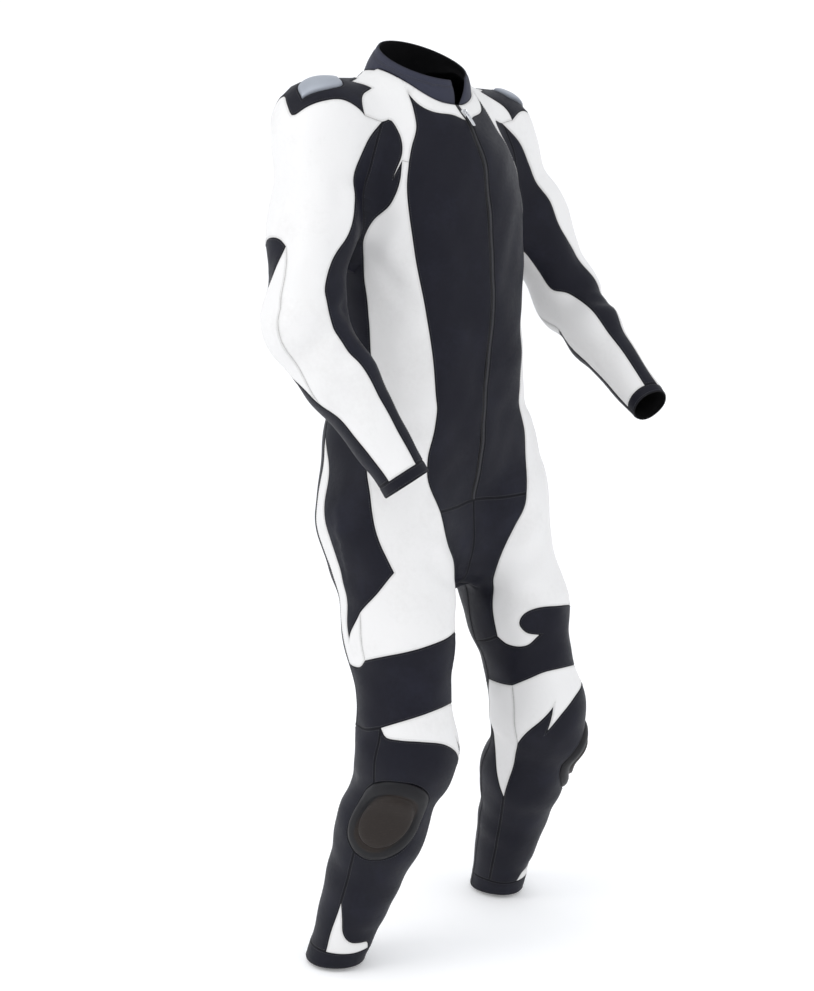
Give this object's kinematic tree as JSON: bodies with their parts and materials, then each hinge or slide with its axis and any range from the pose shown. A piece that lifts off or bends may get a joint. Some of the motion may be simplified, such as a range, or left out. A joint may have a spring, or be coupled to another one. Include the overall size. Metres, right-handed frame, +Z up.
{
  "type": "motorcycle race suit",
  "caption": "One-piece leather race suit, filled out hollow, stand collar, front zip, bent sleeves, flame-cut contrast panels, shoulder cups and knee pucks.",
  "frame": {"origin": "between the shoulders at the foot of the back of the neck, where a figure carries the suit", "axes": "+Z up, the suit faces -Y, +X is the wearer's left"},
  "size_m": [0.6736, 0.4111, 1.3819],
  "materials": {
    "black_leather": "smooth black cowhide with a fine grain",
    "white_leather": "smooth white cowhide with a fine grain",
    "collar_leather": "softer matt dark blue-grey leather",
    "shoulder_armour": "satin metallic cup",
    "knee_puck": "moulded matt black",
    "zip_tape": "black woven tape and teeth",
    "zip_metal": "polished nickel"
  },
  "bodies": {
    "suit": {"shoulder_yoke_r": "black_leather", "yoke_front_r": "white_leather", "front_center_r": "black_leather", "crotch_front_r": "black_leather", "side_front_r": "white_leather", "side_panel_r": "black_leather", "side_stripe_r": "white_leather", "back_upper_r": "black_leather", "back_seat_r": "black_leather", "sleeve_front_r": "black_leather", "sleeve_outer_r": "white_leather", "sleeve_inner_r": "white_leather", "sleeve_flame_r": "black_leather", "elbow_r": "white_leather", "sleeve_under_r": "black_leather", "cuff_r": "black_leather", "knee_band_r": "black_leather", "knee_white_r": "white_leather", "calf_flame_r": "white_leather", "shin_r": "black_leather", "calf_back_r": "black_leather", "calf_inner_r": "black_leather", "ankle_flame_r": "white_leather", "hem_r": "black_leather", "shoulder_cup_r": "shoulder_armour", "knee_puck_r": "knee_puck", "shoulder_yoke_l": "black_leather", "yoke_front_l": "white_leather", "front_center_l": "black_leather", "crotch_front_l": "black_leather", "side_front_l": "white_leather", "side_panel_l": "black_leather", "side_stripe_l": "white_leather", "back_upper_l": "black_leather", "back_seat_l": "black_leather", "sleeve_front_l": "black_leather", "sleeve_outer_l": "white_leather", "sleeve_inner_l": "white_leather", "sleeve_flame_l": "black_leather", "elbow_l": "white_leather", "sleeve_under_l": "black_leather", "cuff_l": "black_leather", "knee_band_l": "black_leather", "knee_white_l": "white_leather", "calf_flame_l": "white_leather", "shin_l": "black_leather", "calf_back_l": "black_leather", "calf_inner_l": "black_leather", "ankle_flame_l": "white_leather", "hem_l": "black_leather", "shoulder_cup_l": "shoulder_armour", "knee_puck_l": "knee_puck", "crotch_gusset": "black_leather", "collar": "collar_leather", "zip": "zip_tape", "zip_slider": "zip_metal"},
    "pull_tab": {"zip_pull_tab": "zip_metal"}
  },
  "joints": [
    {"name": "zip_pull_hinge", "type": "hinge", "parent": "suit", "child": "pull_tab", "pos_m": [0, -0.08331, -0.00786], "axis": [-1, 0, 0], "range_deg": [0, 150]}
  ]
}
